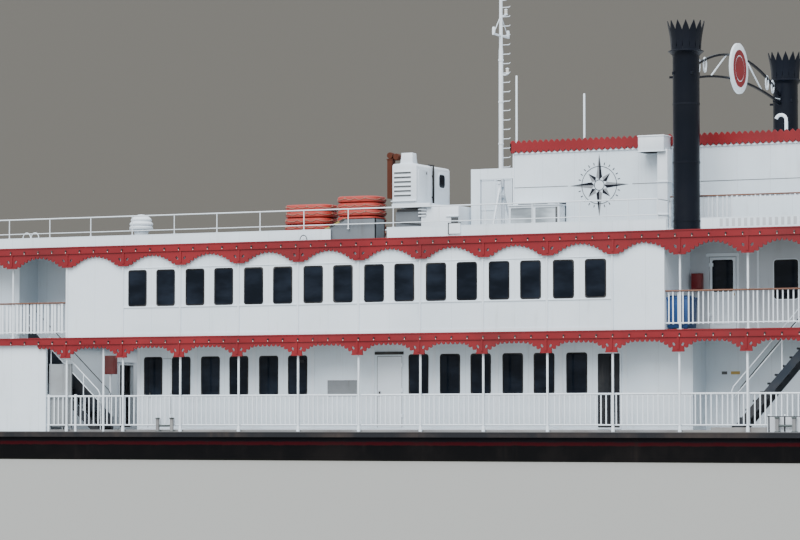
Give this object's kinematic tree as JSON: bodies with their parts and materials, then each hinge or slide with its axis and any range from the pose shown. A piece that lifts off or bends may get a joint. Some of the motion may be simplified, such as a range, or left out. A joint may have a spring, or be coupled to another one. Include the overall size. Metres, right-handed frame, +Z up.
{
  "type": "stern-wheel paddle steamer, 1:2 scale model",
  "caption": "River paddle steamer with two decks of saloons, curved fretwork, twin crowned funnels, folding mast, steering rudders and a turning stern wheel.",
  "frame": {"origin": "centre of the length and breadth, at the flat bottom of the hull", "axes": "+X towards the bow, +Y to port, +Z up"},
  "size_m": [22.5, 4.6, 7.5],
  "materials": {
    "hull_black": "worn black hull paint",
    "white_paint": "weathered white paint",
    "red_paint": "satin dark red paint",
    "deck_grey": "matt deck paint",
    "funnel_black": "satin blue-black paint",
    "steel_grey": "grey painted steel",
    "rusty_steel": "rusted steel",
    "engine_iron": "painted iron",
    "float_orange": "faded orange-red",
    "wheel_red": "red painted timber"
  },
  "bodies": {
    "vessel": {"hull": "hull_black", "main_deck": "deck_grey", "engine_block": "engine_iron", "engine_room_wall_starboard": "white_paint", "engine_room_wall_port": "white_paint", "engine_room_wall_aft": "white_paint", "engine_room_wall_forward": "white_paint", "side_screen_starboard": "white_paint", "side_screen_port": "white_paint", "main_house_wall_starboard": "white_paint", "main_house_wall_port": "white_paint", "main_house_wall_aft": "white_paint", "main_house_wall_forward": "white_paint", "main_railing_starboard": "white_paint", "main_railing_port": "white_paint", "bow_railing": "white_paint", "stairs_aft_starboard": "white_paint", "stairs_aft_port": "white_paint", "stairs_forward_starboard": "white_paint", "stairs_forward_port": "white_paint", "upper_deck": "deck_grey", "upper_deck_aft": "deck_grey", "upper_deck_forward": "deck_grey", "upper_deck_starboard": "deck_grey", "upper_deck_port": "deck_grey", "lower_fretwork_starboard": "red_paint", "lower_fretwork_port": "red_paint", "saloon_wall_starboard": "white_paint", "saloon_wall_port": "white_paint", "saloon_wall_aft": "white_paint", "saloon_wall_forward": "white_paint", "lounge_walls": "white_paint", "veranda_railing_aft": "white_paint", "veranda_railing_forward": "white_paint", "top_deck": "deck_grey", "upper_fretwork_starboard": "red_paint", "upper_fretwork_port": "red_paint", "top_railing": "white_paint", "aft_deckhouse_walls": "white_paint", "pilothouse_walls": "white_paint", "deckhouse_roofs": "red_paint", "duct": "white_paint", "funnel_starboard": "funnel_black", "funnel_port": "funnel_black", "sign_bracket": "funnel_black", "sign_disc": "red_paint", "mast_tabernacle": "white_paint", "machinery_housing": "white_paint", "life_floats": "float_orange", "boarding_ramp": "steel_grey", "vent_cowl": "white_paint", "wheel_beam_starboard": "white_paint", "wheel_beam_port": "white_paint"},
    "wheel": {"paddle_wheel": "wheel_red"},
    "rudder_blade_starboard": {"rudder_starboard": "hull_black"},
    "rudder_blade_port": {"rudder_port": "hull_black"},
    "signal_mast": {"mast": "white_paint"},
    "door_lounge_starboard": {"lounge_door_starboard": "white_paint"},
    "door_lounge_port": {"lounge_door_port": "white_paint"},
    "door_pilothouse": {"pilothouse_door": "white_paint"}
  },
  "joints": [
    {"name": "wheel_spin", "type": "hinge", "parent": "vessel", "child": "wheel", "pos_m": [-10.05, 0, 1.5], "axis": [0, 1, 0], "continuous": true},
    {"name": "rudder_turn", "type": "hinge", "parent": "vessel", "child": "rudder_blade_starboard", "pos_m": [-8.15, -0.9, 0.3], "axis": [0, 0, 1], "range_deg": [-35, 35]},
    {"name": "rudder_turn_port", "type": "hinge", "parent": "vessel", "child": "rudder_blade_port", "pos_m": [-8.15, 0.9, 0.3], "axis": [0, 0, 1], "range_deg": [-35, 35]},
    {"name": "mast_fold", "type": "hinge", "parent": "vessel", "child": "signal_mast", "pos_m": [2.015, 0, 4.55], "axis": [0, -1, 0], "range_deg": [0, 85]},
    {"name": "lounge_door_starboard_swing", "type": "hinge", "parent": "vessel", "child": "door_lounge_starboard", "pos_m": [5.6575, -1.3105, 2.8], "axis": [0, 0, -1], "range_deg": [0, 95]},
    {"name": "lounge_door_port_swing", "type": "hinge", "parent": "vessel", "child": "door_lounge_port", "pos_m": [5.6575, 1.3105, 2.8], "axis": [0, 0, 1], "range_deg": [0, 95]},
    {"name": "pilothouse_door_swing", "type": "hinge", "parent": "vessel", "child": "door_pilothouse", "pos_m": [6.2025, 1.3105, 4.1], "axis": [0, 0, 1], "range_deg": [0, 95]}
  ],
  "couplings": [
    {"joint": "rudder_turn_port", "follows": "rudder_turn", "ratio": 1}
  ]
}
